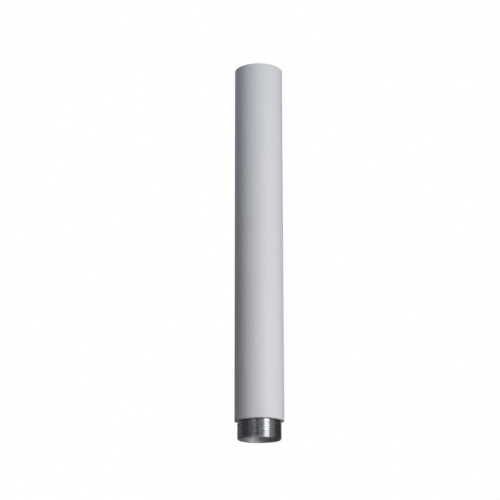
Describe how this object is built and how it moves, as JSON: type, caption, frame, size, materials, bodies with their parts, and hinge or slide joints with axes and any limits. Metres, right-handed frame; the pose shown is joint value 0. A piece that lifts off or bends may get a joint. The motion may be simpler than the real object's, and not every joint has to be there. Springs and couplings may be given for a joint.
{
  "type": "omnidirectional antenna",
  "caption": "Slim upright radome tube on a pipe-threaded metal base, with a sleeve-tuned dipole inside and a coaxial socket recessed in the base's bore.",
  "frame": {"origin": "centre of the threaded base's lower end face, on the thread's axis", "axes": "+Z along the thread's axis, from the threaded base up to the closed top of the radome; +X towards the breather in the connector plate"},
  "size_m": [0.054, 0.054, 0.425],
  "materials": {
    "radome": "painted glass fibre, satin light grey",
    "base_steel": "turned, polished",
    "screw_steel": "bright",
    "plate_aluminium": "turned",
    "nickel_plate": "nickel-plated",
    "gold_plate": "gold-plated",
    "brass": "spun, bright",
    "copper": "drawn copper",
    "ptfe": "translucent white",
    "acetal": "natural white, turned",
    "moulded_black": "moulded",
    "plug_moulding": "moulded, light grey",
    "glass_fibre": "pultruded, unpainted",
    "ferrite": "sintered",
    "heat_shrink": "shrunk sleeve",
    "seal_rubber": "moulded",
    "sealant": "cured bead"
  },
  "bodies": {
    "root": {"bead_heat_shrink": "heat_shrink", "cable_ferrule": "nickel_plate", "connector_contact": "gold_plate", "connector_dielectric": "ptfe", "connector_gasket": "seal_rubber", "connector_plate": "plate_aluminium", "connector_screws": "screw_steel", "connector_shell": "nickel_plate", "core_terminal": "brass", "damper_ring": "seal_rubber", "feed_cable_core": "copper", "feed_cable_dielectric": "ptfe", "feed_cable_shield": "copper", "feed_hub": "acetal", "ferrite_bead_1": "ferrite", "ferrite_bead_2": "ferrite", "ferrite_bead_3": "ferrite", "ferrite_bead_4": "ferrite", "lower_centring_disc": "moulded_black", "lower_feed_nut": "brass", "lower_radiator": "brass", "plate_o_ring": "seal_rubber", "radome_tube": "radome", "retaining_ring": "screw_steel", "shield_collar": "brass", "sleeve_carrier_lower": "moulded_black", "sleeve_carrier_upper": "moulded_black", "spigot_o_ring_lower": "seal_rubber", "spigot_o_ring_upper": "seal_rubber", "standoff_flange": "plate_aluminium", "standoff_screws": "screw_steel", "standoff_tube": "glass_fibre", "threaded_base": "base_steel", "top_plug": "plug_moulding", "top_plug_o_ring": "seal_rubber", "top_seal_bead": "sealant", "top_strut": "glass_fibre", "tuning_sleeve": "brass", "upper_centring_disc": "moulded_black", "upper_feed_nut": "brass", "upper_radiator": "brass", "vent_plug": "moulded_black"}
  },
  "joints": []
}
